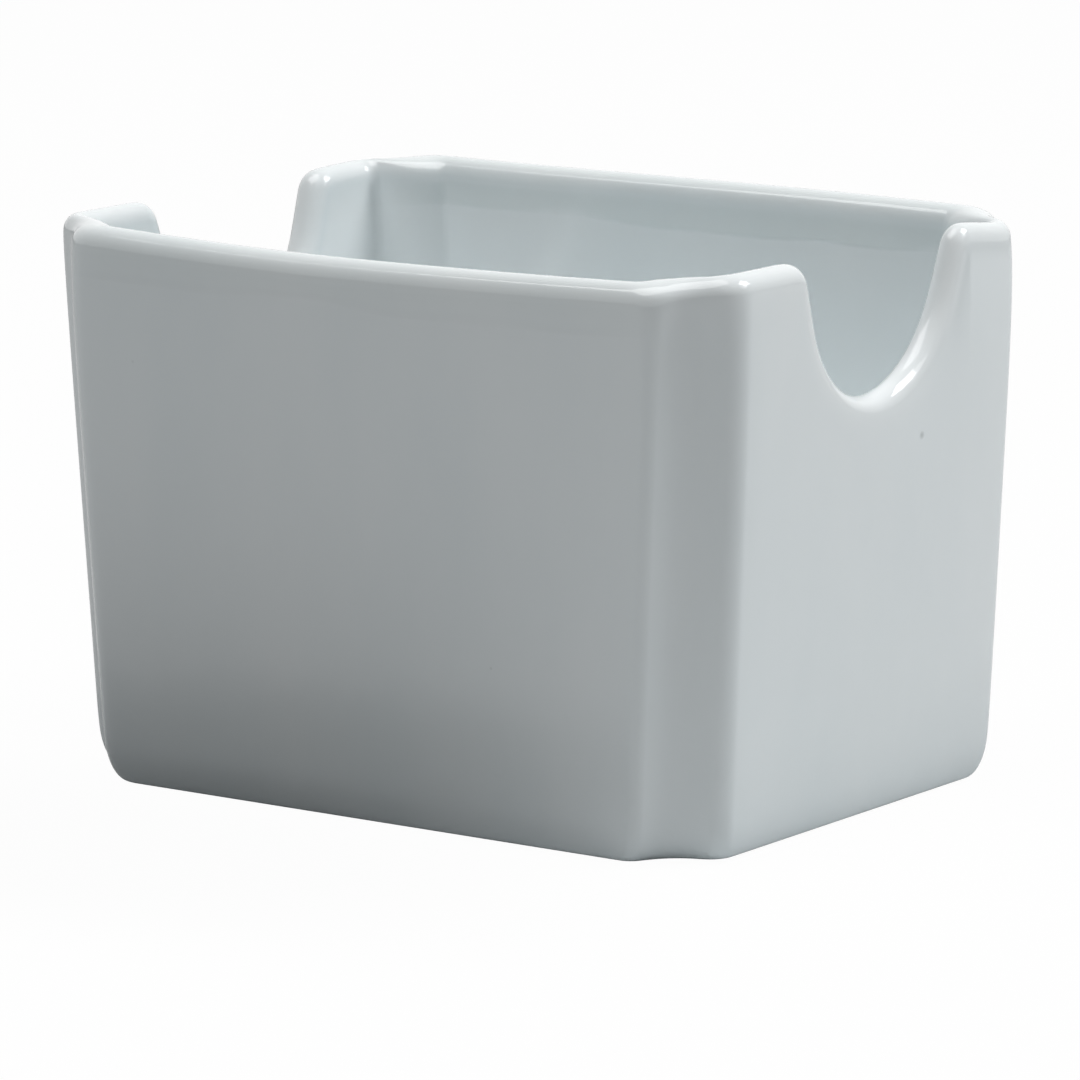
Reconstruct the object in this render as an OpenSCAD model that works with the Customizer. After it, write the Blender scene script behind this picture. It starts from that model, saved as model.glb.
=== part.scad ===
// Sugar packet holder: an open china caddy with scalloped corners and a finger notch in each end wall.
// X runs along the long walls, Y across, Z up. The origin is on the table, under the middle of the caddy.

/* [Overall] */
// Length over the end walls, at the rim
length = 96; // [84:0.5:130]
// Width over the long walls, at the rim
width = 67; // [64:0.5:95]
// Height from the table to the top of the rim
height = 65; // [52:0.5:95]

/* [Walls and base] */
// Thickness of the walls
wall = 4.3; // [3:0.1:6]
// Height of the floor's upper face above the table
floor_h = 6; // [4:0.1:10]
// Lean of the end walls, inward towards the base, in degrees
end_lean = 3.3; // [0:0.1:6]
// Lean of the long walls, inward towards the base, in degrees
side_lean = 0.7; // [0:0.1:4]
// How far the outer walls curve inward towards the base
base_in = 1.7; // [1:0.1:5]
// Height of that curve
base_rise = 5.6; // [1:0.1:8]
// Radius where the inner walls meet the floor
floor_r = 4; // [1:0.1:8]

/* [Scalloped corners] */
// Outer radius from a long wall into the scallop
front_r = 4.7; // [2:0.1:8]
// Radius of the scallop's hollow
scallop_r = 6.9; // [4:0.1:12]
// Outer radius from the scallop into an end wall
end_r = 2.1; // [1:0.1:6]
// Direction of the wall where the hollow starts, in degrees off the long wall
scallop_in = 67; // [50:1:80]
// Direction of the wall where the hollow ends, in degrees off the long wall
scallop_out = 26; // [10:1:45]
// Radius of the ridge that the scallop makes inside
ridge_r = 8; // [5:0.1:16]
// Inner radius from a long wall into the ridge
inner_front_r = 1.4; // [0.5:0.1:6]
// Inner radius from the ridge into an end wall
inner_end_r = 0.9; // [0.5:0.1:6]

/* [Finger notches] */
// Depth of a notch below the rim
notch_depth = 17; // [10:0.1:25]
// Radius of a notch's round bottom
notch_r = 13.8; // [6:0.1:14.4]
// Flare of a notch's sides, in degrees off upright
notch_flare = 19; // [4:1:25]
// Radius of the turn from the rim down into a notch, along the middle of the rim
shoulder_r = 1; // [0.5:0.1:3]

/* [Foot] */
// Height of the bare foot
foot_h = 0.4; // [0.3:0.1:2]
// Width of the bare foot
foot_w = 3.6; // [2:0.1:5]
// How far the foot stands inside the base's edge
foot_in = 2.4; // [0:0.1:4]
// Depth of the hollow in the base, above the foot
recess = 1; // [0.4:0.1:2]

/* [Hidden] */

// Steps along each arc of the outline, the rim and the rounds
corner_steps = 5;
shoulder_steps = 4;
notch_steps = 9;
rim_steps = 10;
round_steps = 5;

// Middle line of the rim, level along the walls and dipping through each notch
rim_r = wall / 2;
rim_z = height - rim_r;
path_r = notch_r + rim_r;
path_z = height - notch_depth + notch_r;

// Distance of the foot's outer edge inside the outer walls
foot_edge = base_in + foot_in;

// Turn of the line down a notch's side: the whole flare, or less in a notch too shallow for it
full_turn = acos(max(-1, 1 - notch_depth / (path_r + shoulder_r)));
side_turn = min(90 - notch_flare, full_turn);
side_top_z = rim_z - shoulder_r * (1 - cos(side_turn));
side_low_z = path_z - path_r * cos(side_turn);
side_run = (side_top_z - side_low_z) * tan(notch_flare);
shoulder_y = (path_r + shoulder_r) * sin(side_turn) + side_run;

// Corner outline seen from above, from the square corner at [0, 0]: a convex arc, a hollow and a convex arc.
// A heading is the wall's direction in degrees off the long wall. The hollow's radius is negative.
function turn(r, from, to) = r * [sin(to) - sin(from), cos(to) - cos(from)];
function arc(start, r, from, to) = [
  for (i = [0 : corner_steps - 1])
    start + turn(r, from, from + (to - from) * i / corner_steps)
];
function corner(r1, r2, r3) =
  let (
    leg1 = turn(r1, 0, scallop_in),
    leg2 = turn(-r2, scallop_in, scallop_out),
    leg3 = turn(r3, scallop_out, 90),
    p0 = [-(leg1 + leg2 + leg3).x, 0],
    p1 = p0 + leg1,
    p2 = p1 + leg2
  )
  concat(
    arc(p0, r1, 0, scallop_in),
    arc(p1, -r2, scallop_in, scallop_out),
    arc(p2, r3, scallop_out, 90),
    [p2 + leg3]
  );
outer_corner = corner(front_r, scallop_r, end_r);
inner_corner = corner(inner_front_r, ridge_r, inner_end_r);

// A face is a wall surface: [its corner outline, how far it lies inside the outer walls].
OUTER = [outer_corner, 0];
INNER = [inner_corner, wall];

// A column is one upright section of the wall: [place, y, height of the rim's middle, direction out of the rim].
// The place is a point's number along the corner, or a wall's name. y is used on an end wall only.
LONG_WALL = -1;
END_WALL = -2;
UP = [0, 0, 1];
function notch_column(y, z, t) = [END_WALL, y, z, [0, -sin(t), cos(t)]];
quarter = concat(
  [[LONG_WALL, 0, rim_z, UP]],
  [for (i = [0 : len(outer_corner) - 1]) [i, 0, rim_z, UP]],
  [
    for (i = [0 : shoulder_steps])
      let (t = side_turn * i / shoulder_steps)
        notch_column(shoulder_y - shoulder_r * sin(t), rim_z - shoulder_r * (1 - cos(t)), t)
  ],
  [
    for (i = [0 : notch_steps])
      let (t = side_turn * (1 - i / notch_steps))
        notch_column(path_r * sin(t), path_z - path_r * cos(t), t)
  ]
);

// Half length and half width at a height, a distance inside the outer walls
function half_at(z, inset) = [
  length / 2 - (rim_z - z) * tan(end_lean) - inset,
  width / 2 - (rim_z - z) * tan(side_lean) - inset
];

// Half of an end wall's flat width at a height
function flat_at(face, z, inset) =
  half_at(z, face[1] + inset).y + face[0][len(face[0]) - 1].y;

// Point of a column on a face at a height, moved inward by an inset
function on_face(column, face, z, inset = 0) =
  let (half = half_at(z, face[1] + inset))
  column[0] == LONG_WALL ? [0, half.y, z]
  : column[0] == END_WALL
    ? [half.x, column[1] * flat_at(face, z, inset) / flat_at(face, column[2], 0), z]
  : [half.x + face[0][column[0]].x, half.y + face[0][column[0]].y, z];

// Section of the wall at a column, from the hollow under the base, round the rim, to the floor inside
function section(column) =
  let (
    outside = on_face(column, OUTER, column[2]),
    inside = on_face(column, INNER, column[2]),
    middle = (outside + inside) / 2,
    half = (outside - inside) / 2
  )
  concat(
    [on_face(column, OUTER, foot_h + recess, foot_edge + foot_w + recess)],
    [on_face(column, OUTER, foot_h, foot_edge + foot_w)],
    [
      for (i = [0 : round_steps])
        let (t = 90 * i / round_steps)
          on_face(column, OUTER, foot_h + base_rise * (1 - cos(t)), base_in * (1 - sin(t)))
    ],
    [
      for (i = [0 : rim_steps])
        let (t = 180 * i / rim_steps)
          middle + half * cos(t) + column[3] * rim_r * sin(t)
    ],
    [
      for (i = [0 : round_steps])
        let (t = 90 * i / round_steps)
          on_face(column, INNER, floor_h + floor_r * (1 - sin(t)), floor_r * (1 - cos(t)))
    ]
  );

// A quarter of the wall is mirrored into all four, one loop of sections round the caddy
function flip(points, x, y) = [for (p = points) [p.x * x, p.y * y, p.z]];
function backwards(list) = [for (i = [len(list) - 1 : -1 : 0]) list[i]];
function without_last(list) = [for (i = [0 : len(list) - 2]) list[i]];
function all_round(sections) =
  let (back = backwards(sections))
  concat(
    [for (s = without_last(sections)) flip(s, 1, 1)],
    [for (s = without_last(back)) flip(s, 1, -1)],
    [for (s = without_last(sections)) flip(s, -1, -1)],
    [for (s = without_last(back)) flip(s, -1, 1)]
  );

// Outline of the outer walls at the base, a distance inside them
function base_outline(inset) = [
  for (s = all_round([for (c = quarter) [on_face(c, OUTER, foot_h, inset)]]))
    [s[0].x, s[0].y]
];

// Glazed body: floor, four walls, scalloped corners, round rim and two finger notches in one casting
module body() {
  loop = all_round([for (c = quarter) section(c)]);
  columns = len(loop);
  rows = len(loop[0]);
  under = columns * rows;
  above = under + 1;
  points = concat(
    [for (s = loop) each s],
    [[0, 0, foot_h + recess], [0, 0, floor_h]]
  );
  faces = [
    for (c = [0 : columns - 1])
      let (here = c * rows, next = (c + 1) % columns * rows)
        each concat(
          [[here, under, next]],
          [
            for (r = [0 : rows - 2])
              each [
                [here + r, next + r, here + r + 1],
                [next + r, next + r + 1, here + r + 1]
              ]
          ],
          [[here + rows - 1, next + rows - 1, above]]
        )
  ];
  color("aliceblue")
    polyhedron(points, faces);
}

// Bare foot that the caddy was fired on, ground flat
module foot_ring() {
  color("wheat")
    linear_extrude(foot_h)
      difference() {
        polygon(base_outline(foot_edge));
        polygon(base_outline(foot_edge + foot_w));
      }
}

body();
foot_ring();
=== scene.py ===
import math

import bpy
from mathutils import Matrix, Vector


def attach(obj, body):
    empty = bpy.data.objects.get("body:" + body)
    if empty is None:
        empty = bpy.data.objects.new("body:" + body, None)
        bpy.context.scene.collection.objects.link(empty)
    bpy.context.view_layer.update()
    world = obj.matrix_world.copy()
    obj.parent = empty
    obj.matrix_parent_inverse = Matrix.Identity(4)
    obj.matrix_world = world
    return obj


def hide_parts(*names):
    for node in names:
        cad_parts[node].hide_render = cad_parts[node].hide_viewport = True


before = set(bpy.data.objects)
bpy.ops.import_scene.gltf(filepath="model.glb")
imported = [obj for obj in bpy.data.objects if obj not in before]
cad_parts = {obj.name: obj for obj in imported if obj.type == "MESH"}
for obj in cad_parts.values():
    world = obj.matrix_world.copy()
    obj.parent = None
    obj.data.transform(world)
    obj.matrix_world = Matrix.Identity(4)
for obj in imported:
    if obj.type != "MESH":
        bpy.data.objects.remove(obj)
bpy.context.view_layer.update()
print("frame loaded")

mm = 0.001


# Small helpers for node trees
def addNode(tree, kind, inputs=None, **settings):
    node = tree.nodes.new(kind)
    for name, value in settings.items():
        setattr(node, name, value)
    for key, value in (inputs or {}).items():
        if isinstance(value, bpy.types.NodeSocket):
            tree.links.new(value, node.inputs[key])
        else:
            node.inputs[key].default_value = value
    return node


def mathNode(tree, operation, *values):
    return addNode(tree, "ShaderNodeMath", dict(enumerate(values)), operation=operation).outputs[0]


def vectorNode(tree, operation, *values):
    return addNode(tree, "ShaderNodeVectorMath", dict(enumerate(values)), operation=operation).outputs[0]


def scaled(tree, vector, factor):
    return addNode(tree, "ShaderNodeVectorMath", {0: vector, "Scale": factor}, operation="SCALE").outputs[0]


def mixed(tree, factor, first, second):
    inputs = {0: factor, 4: first, 5: second}
    return addNode(tree, "ShaderNodeMix", inputs, data_type="VECTOR").outputs[1]


def mapped(tree, value, fromRange, toRange=(0.0, 1.0), kind="LINEAR"):
    inputs = {"Value": value, "From Min": fromRange[0], "From Max": fromRange[1],
              "To Min": toRange[0], "To Max": toRange[1]}
    return addNode(tree, "ShaderNodeMapRange", inputs, interpolation_type=kind).outputs[0]


def cloudy(tree, place, scale, detail):
    inputs = {"Vector": place, "Scale": scale, "Detail": detail}
    return addNode(tree, "ShaderNodeTexNoise", inputs).outputs["Fac"]


def objectPlace(tree):
    return addNode(tree, "ShaderNodeTexCoord").outputs["Object"]


def newTree(name, kind, inputs, outputs):
    tree = bpy.data.node_groups.new(name, kind)
    for label, socketKind, value in inputs:
        socket = tree.interface.new_socket(label, in_out="INPUT", socket_type=socketKind)
        if value is not None:
            socket.default_value = value
    for label, socketKind in outputs:
        tree.interface.new_socket(label, in_out="OUTPUT", socket_type=socketKind)
    return tree, tree.nodes.new("NodeGroupInput").outputs, tree.nodes.new("NodeGroupOutput").inputs


# The caddy's sizes in millimetres, angles in degrees. "rimSoftening" is added to a corner's outline at the rim.
# "footEdge" rounds the foot, "edgeGap" is how near a row lies to an edge to keep it crisp, and "baseLead" is how
# far the curve at the base starts under the base. "wobble" is the unevenness of the cast wall
caddy = {
    "length": 96.0,
    "width": 67.16,
    "top": 64.61,
    "wall": 4.29,
    "endLean": 3.28,
    "sideLean": 0.68,
    "footHeight": 0.3,
    "footWidth": 3.6,
    "footIn": 4.1,
    "recess": 1.0,
    "baseIn": 1.65,
    "baseRise": 5.57,
    "floorHeight": 6.0,
    "floorRound": 4.5,
    "notchFlare": 19.4,
    "shoulderRadius": 0.97,
    "notchRadius": 14.98,
    "notchBottom": 47.92,
    "rimSoftening": (2.6, -17, 2.0, 3, 1.2),
    "footEdge": 0.12,
    "edgeGap": 0.5,
    "baseLead": 0.4,
    "wobble": 0.12,
}

# How each hand-finished quarter differs, in millimetres: "dip" of the rim mid-length, rise of the rim at the
# corner's "start" and "end" and at the notch's "shoulder", and "pinch", how far the rim's end is drawn in.
# "soft" is the share of the rim's softening that its corner takes, and "notch" the share of the notch's width.
# "outer" and "inner" are the corner's outlines: radius of each bend, with the wall's direction between them
quarters = {
    (1, 1): {
        "dip": -0.53, "start": 0.14, "end": -0.6, "pinch": 0.9, "soft": 0.5, "shoulder": 0.25,
        "notch": 0.986, "outer": (4.3, 66.8, 6.9, 25.7, 2.1), "inner": (2.4, 36, 12.0, 8, 1.4),
    },
    (1, -1): {
        "dip": 1.38, "start": -0.93, "end": 0.02, "pinch": 0, "soft": 1, "shoulder": 0.01,
        "notch": 0.914, "outer": (2.2, 64, 8.0, 16, 2.9), "inner": (3.0, 34, 13.0, 6, 1.8),
    },
    (-1, -1): {
        "dip": 1.38, "start": -0.4, "end": -0.11, "pinch": 0.45, "soft": 0.5, "shoulder": -0.08,
        "notch": 0.839, "outer": (3.6, 66, 7.7, 24, 2.8), "inner": (2.8, 34, 13.0, 8, 1.6),
    },
    (-1, 1): {
        "dip": -0.53, "start": 0.76, "end": 0.14, "pinch": 0, "soft": 0.5, "shoulder": -0.03,
        "notch": 1.02, "outer": (4.2, 66, 7.4, 25, 2.4), "inner": (2.4, 31, 15.5, 5, 1.5),
    },
}

# Places of the columns along half a long wall, as shares of it, and the steps round each bend
wallShares = (0, 0.16, 0.32, 0.48, 0.64, 0.8, 0.93)
bendSteps, shoulderSteps, notchSteps, rimSteps, roundSteps = 5, 4, 9, 8, 4

# Points of an arc lie this much outside it, so that the smoothed surface meets the arc
notchHold, rimHold = 1.003, 1.026


# Moves each inner point of a curve outward a little, so that the smoothed surface meets the curve itself
def held(points):
    moved = [list(point) for point in points]
    for i in range(1, len(points) - 1):
        for axis in range(2):
            bend = points[i - 1][axis] - 2 * points[i][axis] + points[i + 1][axis]
            moved[i][axis] -= bend / 6
    return [tuple(point) for point in moved]


# Corner seen from above, measured from the square corner at (0, 0)
def cornerOutline(bends):
    turnIn, turnOut = math.radians(bends[1]), math.radians(bends[3])
    arcs = ((bends[0], 0, turnIn), (-bends[2], turnIn, turnOut), (bends[4], turnOut, math.pi / 2))
    x, y, points = 0.0, 0.0, []
    for radius, begin, finish in arcs:
        for i in range(bendSteps):
            angle = begin + (finish - begin) * i / bendSteps
            points.append((x + radius * (math.sin(angle) - math.sin(begin)),
                           y + radius * (math.cos(angle) - math.cos(begin))))
        x += radius * (math.sin(finish) - math.sin(begin))
        y += radius * (math.cos(finish) - math.cos(begin))
    points.append((x, y))
    return held([(px - x, py) for px, py in points])


def halfWidth(z):
    return caddy["width"] / 2 - (caddy["top"] - z) * math.tan(math.radians(caddy["sideLean"]))


# One column: offsets from the square corner of its outer point, on the wall and (softer) at the rim, and of its
# inner point, then both points' shares of half the length and width, and the rim's height and direction
def makeColumn(outer, soft, inner, outerShare, innerShare, z, normal=(0, 1)):
    return {"outerOffset": outer, "softOffset": soft, "innerOffset": inner, "outerShare": outerShare,
            "innerShare": innerShare, "rimHeight": z, "rimNormal": normal}


# Middle line of the rim, from its shoulder down to the notch's bottom: distance from the middle, height, turn
def notchPath(rimZ):
    flare = math.radians(caddy["notchFlare"])
    sideTurn = math.pi / 2 - flare
    shoulder = caddy["shoulderRadius"]
    bend = caddy["notchRadius"] + caddy["wall"] / 2
    middleZ = caddy["notchBottom"] + caddy["notchRadius"]
    lowY, lowZ = bend * math.sin(sideTurn), middleZ - bend * math.cos(sideTurn)
    highZ = rimZ - shoulder * (1 - math.cos(sideTurn))
    highY = lowY + (highZ - lowZ) * math.tan(flare)
    shoulderY = highY + shoulder * math.sin(sideTurn)
    path = []
    for i in range(shoulderSteps):
        angle = sideTurn * i / shoulderSteps
        path.append((shoulderY - shoulder * math.sin(angle), rimZ - shoulder * (1 - math.cos(angle)), angle))
    path.append((highY, highZ, sideTurn))
    path.append(((highY + lowY) / 2, (highZ + lowZ) / 2, sideTurn))
    for i in range(notchSteps + 1):
        angle = sideTurn * (1 - i / notchSteps)
        reach = bend * (notchHold if i else 1)
        path.append((reach * math.sin(angle), middleZ - reach * math.cos(angle), angle))
    return path


def quarterColumns(vary):
    outer, inner = cornerOutline(vary["outer"]), cornerOutline(vary["inner"])
    softer = [value + vary["soft"] * change for value, change in zip(vary["outer"], caddy["rimSoftening"])]
    soft = [(x - vary["pinch"], y) for x, y in cornerOutline(softer)]
    rimZ = caddy["top"] - caddy["wall"] / 2
    columns = []
    for share in wallShares:
        z = rimZ - vary["dip"] * (1 - share ** 2) + vary["start"] * share ** 2
        offsets = [(outline[0][0], 0) for outline in (outer, soft, inner)]
        columns.append(makeColumn(*offsets, (share, 1), (share, 1), z))
    for i in range(len(outer)):
        part = i / (len(outer) - 1)
        part = part * part * (3 - 2 * part)
        z = rimZ + vary["start"] + (vary["end"] - vary["start"]) * part
        columns.append(makeColumn(outer[i], soft[i], inner[i], (1, 1), (1, 1), z))

    path = notchPath(rimZ)
    outerEnd, innerEnd = outer[-1][1], inner[-1][1]
    outerFlat = halfWidth(rimZ) + outerEnd
    innerFlat = halfWidth(rimZ) - caddy["wall"] + innerEnd
    startY = path[0][0] * vary["notch"]
    columns.append(makeColumn(
        (0, outerEnd), (-vary["pinch"], outerEnd), (0, innerEnd),
        (1, (outerFlat + startY) / 2 / outerFlat), (1, (innerFlat + startY) / 2 / innerFlat),
        rimZ + (vary["end"] + vary["shoulder"]) / 2))
    for pathY, z, angle in path:
        y = pathY * vary["notch"]
        rise = (z - caddy["notchBottom"]) / (rimZ - caddy["notchBottom"])
        columns.append(makeColumn(
            (0, outerEnd), (-vary["pinch"] * min(1, y / startY), outerEnd), (0, innerEnd),
            (1, y / outerFlat), (1, y / innerFlat),
            z + vary["shoulder"] * min(1, max(0, rise)), (-math.sin(angle), math.cos(angle))))
    return columns


# The whole loop of columns, anticlockwise from above, as named lists in metres
def rimPath():
    loop = []
    for signs, reverse in (((1, 1), False), ((1, -1), True), ((-1, -1), False), ((-1, 1), True)):
        columns = quarterColumns(quarters[signs])
        if reverse:
            columns.reverse()
        loop += [(signs, column) for column in columns[:-1]]
    loop.reverse()
    path = {name: [] for name in loop[0][1]}
    for (signX, signY), column in loop:
        for name in ("outerOffset", "softOffset", "innerOffset"):
            path[name].append((column[name][0] * mm, column[name][1] * mm, 0))
        for name in ("outerShare", "innerShare"):
            path[name].append((column[name][0] * signX, column[name][1] * signY, 0))
        path["rimHeight"].append(column["rimHeight"] * mm)
        path["rimNormal"].append((0, column["rimNormal"][0] * signY, column["rimNormal"][1]))
    return path


# One row of the wall's section: its height, how far inside the wall's face it lies, its face (0 outer, 1 inner),
# how far it stands out of the rim's middle line, its climb to the rim and its pull to the caddy's middle
# (0 to 1), the glaze's depth, which is partly painted shade (a darker tone under the base and a lighter one
# inside), and the softening of the corner
def makeRow(height, inset, side=0, rise=0, climb=0, pull=0, depth=0, soften=0):
    return {"rowHeight": height * mm, "inset": inset * mm, "side": side, "rise": rise * mm, "climb": climb,
            "pull": pull, "depth": depth, "soften": soften}


def asLists(rows):
    return {name: [row[name] for row in rows] for name in rows[0]}


def bodyRows():
    foot, hollow = caddy["footHeight"], caddy["footHeight"] + caddy["recess"]
    seatOut, seatIn = caddy["footIn"], caddy["footIn"] + caddy["footWidth"]
    baseIn, baseRise = caddy["baseIn"], caddy["baseRise"]
    floor, floorRound = caddy["floorHeight"], caddy["floorRound"]

    # Hollow under the base, seat of the foot and the curve at the base, with the deepest glaze tone, partly
    # painted shade under the base
    rows = [makeRow(hollow, seatIn, pull=pull, depth=0.5) for pull in (1, 0.4, 0.06)]
    rows.append(makeRow(hollow, seatIn + caddy["edgeGap"], depth=0.8))
    rows += [makeRow(foot, inset, depth=0.9) for inset in (seatIn, seatOut)]
    curve = [(foot, baseIn + caddy["baseLead"])]
    for degrees in (0, 13, 28, 45, 66, 90):
        turn = math.radians(degrees)
        curve.append((foot + baseRise * (1 - math.cos(turn)), baseIn * (1 - math.sin(turn))))
    rows += [makeRow(z, inset, depth=1 - 0.08 * i) for i, (z, inset) in enumerate(held(curve))]

    # Outer wall, round rim and inner wall, whose thin glaze tone inside is partly painted light
    for climb, soften in ((0.15, 0), (0.4, 0), (0.65, 0), (0.84, 0.08), (0.95, 0.5)):
        rows.append(makeRow(foot + baseRise, 0, climb=climb, depth=0.45, soften=soften))
    for i in range(rimSteps + 1):
        angle = math.pi * i / rimSteps
        across = math.cos(angle) * (rimHold if 0 < i < rimSteps else 1)
        rise = caddy["wall"] / 2 * rimHold * math.sin(angle)
        rows.append(makeRow(0, 0, side=(1 - across) / 2, rise=rise, climb=1,
                            depth=0.35 - 0.35 * math.sin(angle), soften=1))
    for climb in (0.96, 0.8, 0.5, 0.2):
        rows.append(makeRow(floor + floorRound, 0, side=1, climb=climb, depth=0.12))

    # Round into the floor, and the floor
    for i in range(roundSteps + 1):
        angle = math.pi / 2 * i / roundSteps
        rows.append(makeRow(floor + floorRound * (1 - math.sin(angle)), floorRound * (1 - math.cos(angle)),
                            side=1, depth=0.3))
    rows += [makeRow(floor, floorRound, side=1, pull=pull, depth=0.2) for pull in (0.08, 0.5, 1)]
    return asLists(rows)


def footRows():
    outside, inside = caddy["footIn"], caddy["footIn"] + caddy["footWidth"]
    top, edge, gap = caddy["footHeight"], caddy["footEdge"], caddy["edgeGap"]
    corners = [
        (top, inside), (edge, inside), (0, inside - edge), (0, inside - gap),
        (0, outside + gap), (0, outside + edge), (edge, outside), (top, outside),
        (top, (inside + outside) / 2), (top, inside),
    ]
    return asLists([makeRow(z, inset) for z, inset in corners])


# Carries named lists into the sweep as attributes on loose points
def makeCarrier(name, lists):
    count = len(next(iter(lists.values())))
    mesh = bpy.data.meshes.new(name)
    mesh.from_pydata([(0, 0, 0)] * count, [], [])
    for label, values in lists.items():
        if isinstance(values[0], tuple):
            layer = mesh.attributes.new(label, "FLOAT_VECTOR", "POINT")
            layer.data.foreach_set("vector", [part for value in values for part in value])
        else:
            layer = mesh.attributes.new(label, "FLOAT", "POINT")
            layer.data.foreach_set("value", values)
    carrier = bpy.data.objects.new(name, mesh)
    bpy.context.scene.collection.objects.link(carrier)
    return carrier


# Node tree that sweeps the section's rows along the rim's columns
def buildSweep():
    sweep, given, result = newTree(
        "sweep a wall section round the rim", "GeometryNodeTree",
        [("Geometry", "NodeSocketGeometry", None), ("Section", "NodeSocketObject", None),
         ("Length", "NodeSocketFloat", 0.096), ("Width", "NodeSocketFloat", 0.067),
         ("Top", "NodeSocketFloat", 0.065), ("Wall", "NodeSocketFloat", 0.004),
         ("End Lean", "NodeSocketFloat", 0.05), ("Side Lean", "NodeSocketFloat", 0.01),
         ("Wobble", "NodeSocketFloat", 0.0001), ("Seed", "NodeSocketFloat", 3.0),
         ("Material", "NodeSocketMaterial", None)],
        [("Geometry", "NodeSocketGeometry")])

    def countPoints(geometry):
        size = addNode(sweep, "GeometryNodeAttributeDomainSize", {"Geometry": geometry})
        return size.outputs["Point Count"]

    def sampled(geometry, name, place, kind):
        value = addNode(sweep, "GeometryNodeInputNamedAttribute", {"Name": name}, data_type=kind)
        inputs = {"Geometry": geometry, "Value": value.outputs["Attribute"], "Index": place}
        return addNode(sweep, "GeometryNodeSampleIndex", inputs, data_type=kind).outputs["Value"]

    def combined(x, y, z):
        return addNode(sweep, "ShaderNodeCombineXYZ", {0: x, 1: y, 2: z}).outputs[0]

    section = addNode(sweep, "GeometryNodeObjectInfo", {"Object": given["Section"]}).outputs["Geometry"]
    columns, rows = countPoints(given["Geometry"]), countPoints(section)
    grid = addNode(sweep, "GeometryNodeMeshGrid",
                   {"Vertices X": mathNode(sweep, "ADD", columns, 1.0), "Vertices Y": rows}).outputs["Mesh"]

    # Which column and which row a grid point stands for
    index = addNode(sweep, "GeometryNodeInputIndex").outputs[0]
    strip = mathNode(sweep, "FLOOR", mathNode(sweep, "DIVIDE", mathNode(sweep, "ADD", index, 0.5), rows))
    row = mathNode(sweep, "SUBTRACT", index, mathNode(sweep, "MULTIPLY", strip, rows))
    column = mathNode(sweep, "MODULO", strip, columns)

    def ofColumn(name, kind="FLOAT_VECTOR"):
        return sampled(given["Geometry"], name, column, kind)

    def ofRow(name):
        return sampled(section, name, row, "FLOAT")

    # Half length and half width at the point's height
    rowHeight = ofRow("rowHeight")
    rimHeight = ofColumn("rimHeight", "FLOAT")
    climbing = mathNode(sweep, "SUBTRACT", rimHeight, rowHeight)
    height = mathNode(sweep, "MULTIPLY_ADD", climbing, ofRow("climb"), rowHeight)
    drop = mathNode(sweep, "SUBTRACT", given["Top"], height)
    slopes = [mathNode(sweep, "TANGENT", given[name]) for name in ("End Lean", "Side Lean")]
    half = scaled(sweep, combined(given["Length"], given["Width"], 0.0), 0.5)
    leaned = vectorNode(sweep, "SUBTRACT", half, scaled(sweep, combined(*slopes, 0.0), drop))
    inset = ofRow("inset")
    here = vectorNode(sweep, "SUBTRACT", leaned, combined(inset, inset, 0.0))
    within = vectorNode(sweep, "SUBTRACT", here, combined(given["Wall"], given["Wall"], 0.0))

    # Outer and inner point, blended across the wall and round the rim
    offset = mixed(sweep, ofRow("soften"), ofColumn("outerOffset"), ofColumn("softOffset"))
    outer = vectorNode(sweep, "MULTIPLY", vectorNode(sweep, "ADD", here, offset), ofColumn("outerShare"))
    inner = vectorNode(sweep, "ADD", within, ofColumn("innerOffset"))
    inner = vectorNode(sweep, "MULTIPLY", inner, ofColumn("innerShare"))
    plan = mixed(sweep, ofRow("side"), outer, inner)
    reach = scaled(sweep, plan, mathNode(sweep, "SUBTRACT", 1.0, ofRow("pull")))
    lifted = scaled(sweep, ofColumn("rimNormal"), ofRow("rise"))
    place = vectorNode(sweep, "ADD", vectorNode(sweep, "ADD", reach, combined(0.0, 0.0, height)), lifted)

    # Slow unevenness of the cast wall, none at the foot
    inputs = {"Vector": place, "W": given["Seed"], "Scale": 26.0, "Detail": 1.0}
    noise = addNode(sweep, "ShaderNodeTexNoise", inputs, noise_dimensions="4D").outputs["Color"]
    uneven = vectorNode(sweep, "SUBTRACT", noise, (0.5, 0.5, 0.5))
    fade = mapped(sweep, height, (0.001, 0.012))
    amount = mathNode(sweep, "MULTIPLY", mathNode(sweep, "MULTIPLY", fade, given["Wobble"]), 2.0)
    place = vectorNode(sweep, "ADD", place, scaled(sweep, uneven, amount))

    # Depth below the rim, which dips by up to 1.4 mm and is taken as level across the notches
    lowest = mathNode(sweep, "SUBTRACT", given["Top"], 0.0014)
    lowest = mathNode(sweep, "MULTIPLY_ADD", given["Wall"], -0.5, lowest)
    belowRim = mathNode(sweep, "SUBTRACT", mathNode(sweep, "MAXIMUM", rimHeight, lowest), height)

    shape = addNode(sweep, "GeometryNodeSetPosition", {"Geometry": grid, "Position": place}).outputs[0]
    for name, value in (("glazeDepth", ofRow("depth")), ("belowRim", belowRim)):
        inputs = {"Geometry": shape, "Name": name, "Value": value}
        shape = addNode(sweep, "GeometryNodeStoreNamedAttribute", inputs,
                        data_type="FLOAT", domain="POINT").outputs[0]
    shape = addNode(sweep, "GeometryNodeMergeByDistance", {"Geometry": shape, "Distance": 0.00001}).outputs[0]
    shape = addNode(sweep, "GeometryNodeSetShadeSmooth", {"Geometry": shape}).outputs[0]
    shape = addNode(sweep, "GeometryNodeRealizeInstances", {"Geometry": shape}).outputs[0]
    inputs = {"Geometry": shape, "Material": given["Material"]}
    shape = addNode(sweep, "GeometryNodeSetMaterial", inputs).outputs[0]
    sweep.links.new(shape, result["Geometry"])
    return sweep


sweep = buildSweep()


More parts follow.
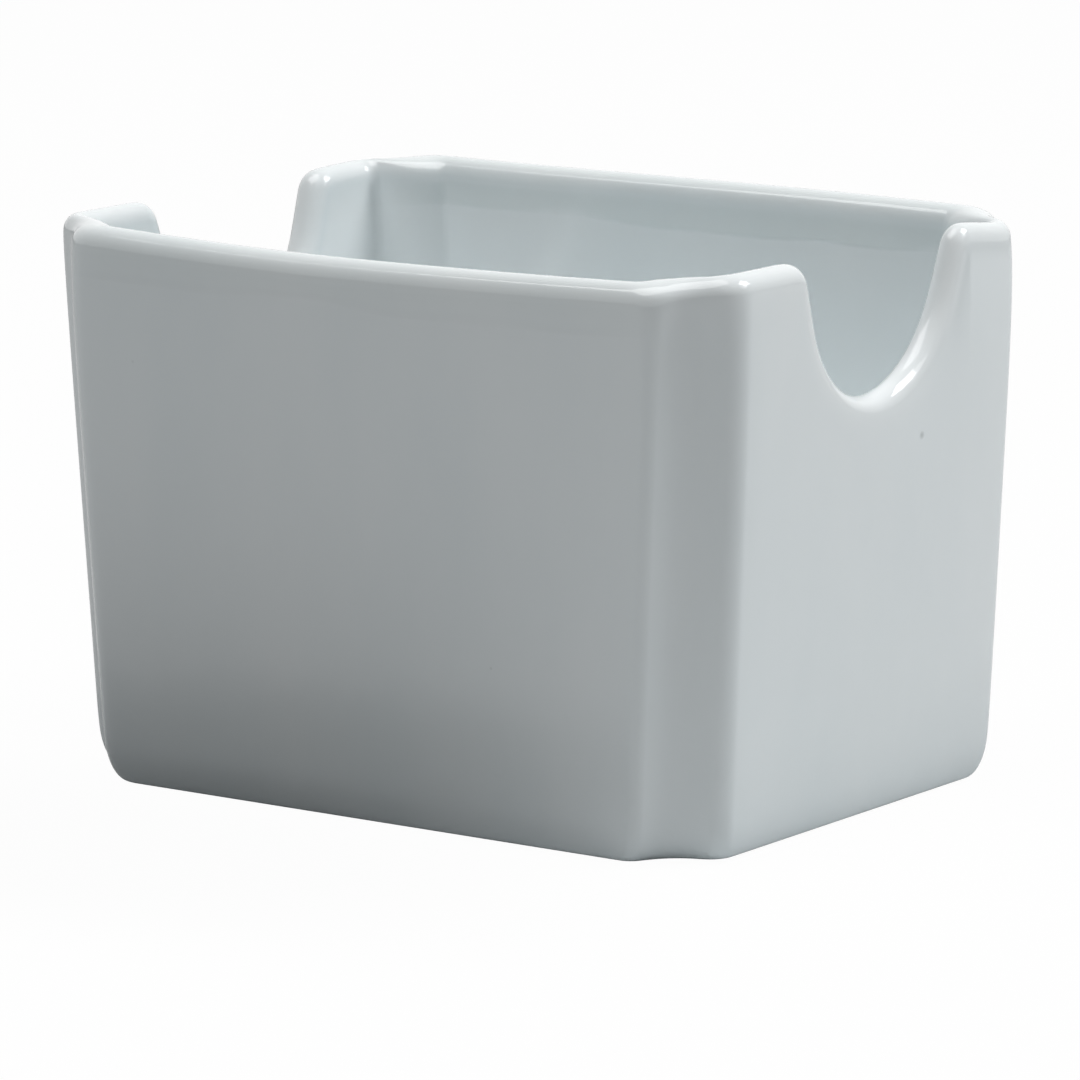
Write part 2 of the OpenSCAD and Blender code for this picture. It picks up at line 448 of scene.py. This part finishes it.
def sweepPiece(name, rows, material, wobble):
    path = makeCarrier(name, rimPath())
    section = makeCarrier(name + " section", rows)
    values = {
        "Section": section, "Material": material, "Wobble": wobble * mm,
        "Length": caddy["length"] * mm, "Width": caddy["width"] * mm,
        "Top": caddy["top"] * mm, "Wall": caddy["wall"] * mm,
        "End Lean": math.radians(caddy["endLean"]), "Side Lean": math.radians(caddy["sideLean"]),
    }
    modifier = path.modifiers.new("sweep", "NODES")
    modifier.node_group = sweep
    for item in sweep.interface.items_tree:
        if item.in_out == "INPUT" and item.name in values:
            modifier[item.identifier] = values[item.name]
    path.update_tag()
    bpy.context.view_layer.update()
    graph = bpy.context.evaluated_depsgraph_get()
    mesh = bpy.data.meshes.new_from_object(
        path.evaluated_get(graph), preserve_all_data_layers=True, depsgraph=graph)
    bpy.data.objects.remove(path)
    bpy.data.objects.remove(section)
    mesh.name = name
    piece = bpy.data.objects.new(name, mesh)
    bpy.context.scene.collection.objects.link(piece)
    finer = piece.modifiers.new("finer", "SUBSURF")
    finer.levels = 2
    finer.render_levels = 2
    print(name, len(mesh.vertices), "points before the last smoothing")
    return piece


# Shader groups: where the glaze lies thick under the rim, its tone, its surface and its specks
def buildGlazeBand():
    tree, inputs, outputs = newTree(
        "thick glaze under the rim", "ShaderNodeTree",
        [("Below Rim", "NodeSocketFloat", 0.0), ("Line", "NodeSocketFloat", 0.0034),
         ("Wander", "NodeSocketFloat", 0.003), ("Softness", "NodeSocketFloat", 0.0004)],
        [("Mask", "NodeSocketFloat")])
    flat = vectorNode(tree, "MULTIPLY", objectPlace(tree), (1.0, 1.0, 0.3))
    slow = mathNode(tree, "SUBTRACT", cloudy(tree, flat, 38.0, 1.5), 0.5)
    line = mathNode(tree, "MULTIPLY_ADD", slow, inputs["Wander"], inputs["Line"])
    over = mathNode(tree, "SUBTRACT", line, inputs["Below Rim"])
    mask = mapped(tree, mathNode(tree, "DIVIDE", over, inputs["Softness"]), (-1.0, 1.0), kind="SMOOTHSTEP")
    crest = mapped(tree, inputs["Below Rim"], (-0.0012, 0.0006))
    tree.links.new(mathNode(tree, "MULTIPLY", mask, crest), outputs["Mask"])
    return tree


def buildGlazeTone():
    tree, inputs, outputs = newTree(
        "glaze tone", "ShaderNodeTree",
        [("Thin", "NodeSocketColor", (0.88, 0.91, 0.92, 1)),
         ("Deep", "NodeSocketColor", (0.79, 0.85, 0.85, 1)),
         ("Depth", "NodeSocketFloat", 0.5), ("Drift", "NodeSocketFloat", 0.3),
         ("Band", "NodeSocketFloat", 0.0), ("Band Tone", "NodeSocketColor", (0.925, 0.94, 0.935, 1)),
         ("Specks", "NodeSocketFloat", 0.0), ("Speck Tone", "NodeSocketColor", (0.55, 0.57, 0.56, 1))],
        [("Color", "NodeSocketColor")])
    runs = vectorNode(tree, "MULTIPLY", objectPlace(tree), (1.0, 1.0, 0.35))
    cloud = mathNode(tree, "SUBTRACT", cloudy(tree, runs, 60.0, 3.0), 0.5)
    depth = mathNode(tree, "ADD", inputs["Depth"], mathNode(tree, "MULTIPLY", cloud, inputs["Drift"]))
    share = addNode(tree, "ShaderNodeClamp", {"Value": depth}).outputs[0]
    tone = addNode(tree, "ShaderNodeMix", {0: share, 6: inputs["Thin"], 7: inputs["Deep"]},
                   data_type="RGBA").outputs[2]
    for mask, tint in (("Band", "Band Tone"), ("Specks", "Speck Tone")):
        tone = addNode(tree, "ShaderNodeMix", {0: inputs[mask], 6: tone, 7: inputs[tint]},
                       data_type="RGBA", blend_type="MULTIPLY").outputs[2]
    tree.links.new(tone, outputs["Color"])
    return tree


def buildGlazeSurface():
    tree, inputs, outputs = newTree(
        "glaze surface", "ShaderNodeTree",
        [("Gloss", "NodeSocketFloat", 0.08), ("Haze", "NodeSocketFloat", 0.06),
         ("Band", "NodeSocketFloat", 0.0)],
        [("Height", "NodeSocketFloat"), ("Roughness", "NodeSocketFloat")])
    place = objectPlace(tree)
    waves = mathNode(tree, "MULTIPLY_ADD", cloudy(tree, place, 900.0, 1.0), 0.06, cloudy(tree, place, 110.0, 2.0))
    tree.links.new(mathNode(tree, "MULTIPLY_ADD", inputs["Band"], 0.8, waves), outputs["Height"])
    patch = cloudy(tree, place, 60.0, 4.0)
    roughness = mathNode(tree, "MULTIPLY_ADD", patch, inputs["Haze"], inputs["Gloss"])
    tree.links.new(roughness, outputs["Roughness"])
    return tree


# Specks burnt into the glaze: place and radius in millimetres, strength
specks = [
    ((46.7, 8.6, 42.4), 0.55, 0.6),
    ((-31.5, -33.2, 49.5), 0.3, 0.35),
    ((18.0, -33.1, 20.0), 0.22, 0.3),
    ((-12.0, 33.4, 31.0), 0.35, 0.6),
    ((47.0, -14.0, 25.0), 0.2, 0.3),
    ((-46.0, 6.0, 37.0), 0.3, 0.7),
]


def buildSpecks():
    tree, inputs, outputs = newTree(
        "iron specks", "ShaderNodeTree", [("Edge", "NodeSocketFloat", 0.75)], [("Mask", "NodeSocketFloat")])
    place = objectPlace(tree)
    core = mathNode(tree, "SUBTRACT", 1.0, inputs["Edge"])
    total = None
    for centre, radius, strength in specks:
        away = addNode(tree, "ShaderNodeVectorMath", {0: place, 1: tuple(part * mm for part in centre)},
                       operation="DISTANCE").outputs["Value"]
        mask = mapped(tree, mathNode(tree, "DIVIDE", away, radius * mm), (core, 1.0), (strength, 0.0))
        total = mask if total is None else mathNode(tree, "MAXIMUM", total, mask)
    tree.links.new(total, outputs["Mask"])
    return tree


glazeBand = buildGlazeBand()
glazeTone = buildGlazeTone()
glazeSurface = buildGlazeSurface()
ironSpecks = buildSpecks()


# The glaze: its tone where it lies thin and deep, the drift between the two, its roughness and how that varies,
# its ripples (bump, with its height in metres) and the thick band under the rim (metres)
glaze = {
    "thin": (0.915, 0.957, 0.967, 1),
    "deep": (0.735, 0.82, 0.85, 1),
    "drift": 0.6,
    "gloss": 0.04,
    "haze": 0.05,
    "bump": 0.3,
    "bumpHeight": 0.0002,
    "index": 1.52,
    "bandLine": 0.0021,
    "bandWander": 0.0045,
    "bandSoftness": 0.0004,
}

# The bare foot, ground flat
bareChina = {
    "thin": (0.84, 0.82, 0.77, 1),
    "deep": (0.7, 0.67, 0.62, 1),
    "depth": 0.3,
    "drift": 1.6,
    "gloss": 0.65,
    "haze": 0.25,
    "bump": 0.5,
    "bumpHeight": 0.0003,
}


def newMaterial(name):
    material = bpy.data.materials.new(name)
    material.use_nodes = True
    tree = material.node_tree
    tree.nodes.clear()
    shader = tree.nodes.new("ShaderNodeBsdfPrincipled")
    output = tree.nodes.new("ShaderNodeOutputMaterial")
    tree.links.new(shader.outputs[0], output.inputs["Surface"])
    return material, tree, shader


def group(tree, source, inputs=None):
    return addNode(tree, "ShaderNodeGroup", inputs, node_tree=source).outputs


def finishMaterial(tree, shader, values, depth, masks, band=0.0):
    toneInputs = {"Thin": values["thin"], "Deep": values["deep"], "Depth": depth, "Drift": values["drift"]}
    tone = group(tree, glazeTone, {**toneInputs, **masks})
    surface = group(tree, glazeSurface, {"Gloss": values["gloss"], "Haze": values["haze"], "Band": band})
    tree.links.new(tone["Color"], shader.inputs["Base Color"])
    tree.links.new(surface["Roughness"], shader.inputs["Roughness"])
    bump = addNode(tree, "ShaderNodeBump", {"Height": surface["Height"], "Strength": values["bump"],
                                            "Distance": values["bumpHeight"]})
    tree.links.new(bump.outputs[0], shader.inputs["Normal"])


def makeGlaze():
    material, tree, shader = newMaterial("clear glaze over cool white china")
    # The glaze's depth: partly real glaze thickness, partly painted shade, darker under the base and lighter
    # inside
    depth = addNode(tree, "ShaderNodeAttribute", attribute_name="glazeDepth").outputs["Fac"]
    below = addNode(tree, "ShaderNodeAttribute", attribute_name="belowRim").outputs["Fac"]
    band = group(tree, glazeBand, {"Below Rim": below, "Line": glaze["bandLine"],
                                   "Wander": glaze["bandWander"], "Softness": glaze["bandSoftness"]})

    # The band shows best inside, and the glaze has drained evenly on the end walls
    inside = mapped(tree, depth, (0.42, 0.25), (0.3, 1.0))
    along = addNode(tree, "ShaderNodeSeparateXYZ", {0: objectPlace(tree)}).outputs["X"]
    offEnds = mapped(tree, mathNode(tree, "ABSOLUTE", along), (0.035, 0.0415), (1.0, 0.1))
    bandMask = mathNode(tree, "MULTIPLY", band["Mask"], offEnds)
    masks = {"Band": mathNode(tree, "MULTIPLY", bandMask, inside), "Specks": group(tree, ironSpecks)["Mask"]}
    shader.inputs["IOR"].default_value = glaze["index"]
    finishMaterial(tree, shader, glaze, depth, masks, bandMask)
    return material


def makeBareChina():
    material, tree, shader = newMaterial("ground bare china")
    finishMaterial(tree, shader, bareChina, bareChina["depth"], {})
    return material


body = sweepPiece("glazed_body", bodyRows(), makeGlaze(), caddy["wobble"])
foot = sweepPiece("foot_ring", footRows(), makeBareChina(), 0)
for piece, node, material in ((body, "body", "glaze"), (foot, "foot_ring", "bare_china")):
    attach(piece, "root")
    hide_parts(node)
print("pieces made")

# Studio: a pale table that the camera sees as white, a white surround for reflections and three soft lights.
# Each light: place and aim in metres, size in metres, power in watts
studio = {
    "floorReach": 3.0,
    "floorLevel": -0.00002,
    "floorTone": 0.8,
    "floorGlow": 0.975,
    # Painted shadow and painted shade in the table's tone: a darker patch in front of the caddy, on the left, and
    # a darkening towards the camera
    "shadowPatchMiddle": (-0.02, -0.058, 0.0),
    "shadowPatchScale": (16.0, 32.0, 0.0),
    "shadowPatchTone": 0.18,
    "nearShade": 0.8,
    "surroundLight": 0.0,
    "lights": {
        "key from behind on the right": ((0.547, 0.492, 0.867), (0, 0, 0.05), 0.5, 6.1),
        "low light from the right": ((0.786, 0.366, 0.727), (0, 0, 0.05), 0.4, 1.2),
        "wide light overhead": ((-0.19, -0.27, 1.14), (0, 0, 0.05), 0.9, 8.5),
    },
}


def makeFloor():
    mesh = bpy.data.meshes.new("floor")
    reach, level = studio["floorReach"], studio["floorLevel"]
    corners = [(x * reach, y * reach, level) for x, y in ((-1, -1), (1, -1), (1, 1), (-1, 1))]
    mesh.from_pydata(corners, [], [(0, 1, 2, 3)])
    floor = bpy.data.objects.new("floor", mesh)
    bpy.context.scene.collection.objects.link(floor)
    material = bpy.data.materials.new("pale floor")
    material.use_nodes = True
    tree = material.node_tree
    tree.nodes.clear()
    rays = addNode(tree, "ShaderNodeLightPath").outputs
    seen = mathNode(tree, "MULTIPLY", rays["Is Camera Ray"], studio["floorGlow"])
    # Painted shadow: a darker patch of the table's tone in front of the caddy, on the left, stands in for the
    # caddy's shadow, and painted shade darkens the table towards the camera; both mostly darken the light the
    # table bounces onto the caddy
    place = objectPlace(tree)
    away = vectorNode(tree, "SUBTRACT", place, studio["shadowPatchMiddle"])
    away = vectorNode(tree, "MULTIPLY", away, studio["shadowPatchScale"])
    away = addNode(tree, "ShaderNodeVectorMath", {0: away}, operation="LENGTH").outputs["Value"]
    paintedShadow = mapped(tree, away, (0.4, 1.4), (studio["shadowPatchTone"], studio["floorTone"]), "SMOOTHSTEP")
    along = addNode(tree, "ShaderNodeSeparateXYZ", {0: place}).outputs["Y"]
    shade = mapped(tree, along, (-0.32, -0.12), (studio["nearShade"], 1.0))
    tone = mathNode(tree, "MULTIPLY", paintedShadow, shade)
    colour = addNode(tree, "ShaderNodeCombineColor", {0: tone, 1: tone, 2: tone}).outputs[0]
    matt = addNode(tree, "ShaderNodeBsdfDiffuse", {"Color": colour}).outputs[0]
    glow = addNode(tree, "ShaderNodeEmission", {"Color": (1, 1, 1, 1), "Strength": 1.0}).outputs[0]
    both = addNode(tree, "ShaderNodeMixShader", {0: seen, 1: matt, 2: glow}).outputs[0]
    output = tree.nodes.new("ShaderNodeOutputMaterial")
    tree.links.new(both, output.inputs["Surface"])
    mesh.materials.append(material)


def makeWorld():
    world = bpy.data.worlds.new("studio")
    bpy.context.scene.world = world
    world.use_nodes = True
    tree = world.node_tree
    tree.nodes.clear()
    rays = addNode(tree, "ShaderNodeLightPath").outputs
    seen = mathNode(tree, "MAXIMUM", rays["Is Camera Ray"], rays["Is Transmission Ray"])
    seen = mathNode(tree, "MAXIMUM", seen, rays["Is Glossy Ray"])
    backs = [addNode(tree, "ShaderNodeBackground", {"Color": (1, 1, 1, 1), "Strength": strength}).outputs[0]
             for strength in (studio["surroundLight"], 1.0)]
    both = addNode(tree, "ShaderNodeMixShader", {0: seen, 1: backs[0], 2: backs[1]}).outputs[0]
    output = tree.nodes.new("ShaderNodeOutputWorld")
    tree.links.new(both, output.inputs["Surface"])


def makeLights():
    for name, (place, aim, size, power) in studio["lights"].items():
        data = bpy.data.lights.new(name, "AREA")
        data.shape = "SQUARE"
        data.size = size
        data.energy = power
        lamp = bpy.data.objects.new(name, data)
        lamp.location = place
        lamp.rotation_euler = (Vector(place) - Vector(aim)).to_track_quat("Z", "Y").to_euler()
        bpy.context.scene.collection.objects.link(lamp)


makeFloor()
makeWorld()
makeLights()
print("studio made")

# Camera: the photo's viewing angle in degrees, lengths in millimetres, focal length in pixels of the picture
shot = {
    "pixels": 1080,
    "azimuth": 36.45,
    "elevation": 10.63,
    "roll": -0.583,
    "distance": 754.72,
    "focal": 6622.6,
    "target": (0.38, 0.0, 27.19),
}


def makeCamera():
    azimuth, elevation, roll = (math.radians(shot[name]) for name in ("azimuth", "elevation", "roll"))
    level = Vector((math.cos(azimuth), math.sin(azimuth), 0))
    away = Vector((math.sin(azimuth), -math.cos(azimuth), 0))
    back = away * math.cos(elevation) + Vector((0, 0, math.sin(elevation)))
    upright = back.cross(level)
    right = level * math.cos(roll) + upright * math.sin(roll)
    up = upright * math.cos(roll) - level * math.sin(roll)
    data = bpy.data.cameras.new("photo camera")
    data.sensor_width = 36
    data.lens = shot["focal"] / shot["pixels"] * data.sensor_width
    data.clip_start = 0.01
    data.clip_end = 20
    camera = bpy.data.objects.new("photo camera", data)
    turned = Matrix((right, up, back)).transposed().to_4x4()
    turned.translation = (Vector(shot["target"]) + back * shot["distance"]) * mm
    camera.matrix_world = turned
    bpy.context.scene.collection.objects.link(camera)
    bpy.context.scene.camera = camera


makeCamera()
bpy.context.scene.view_settings.view_transform = "Standard"
print("camera set")
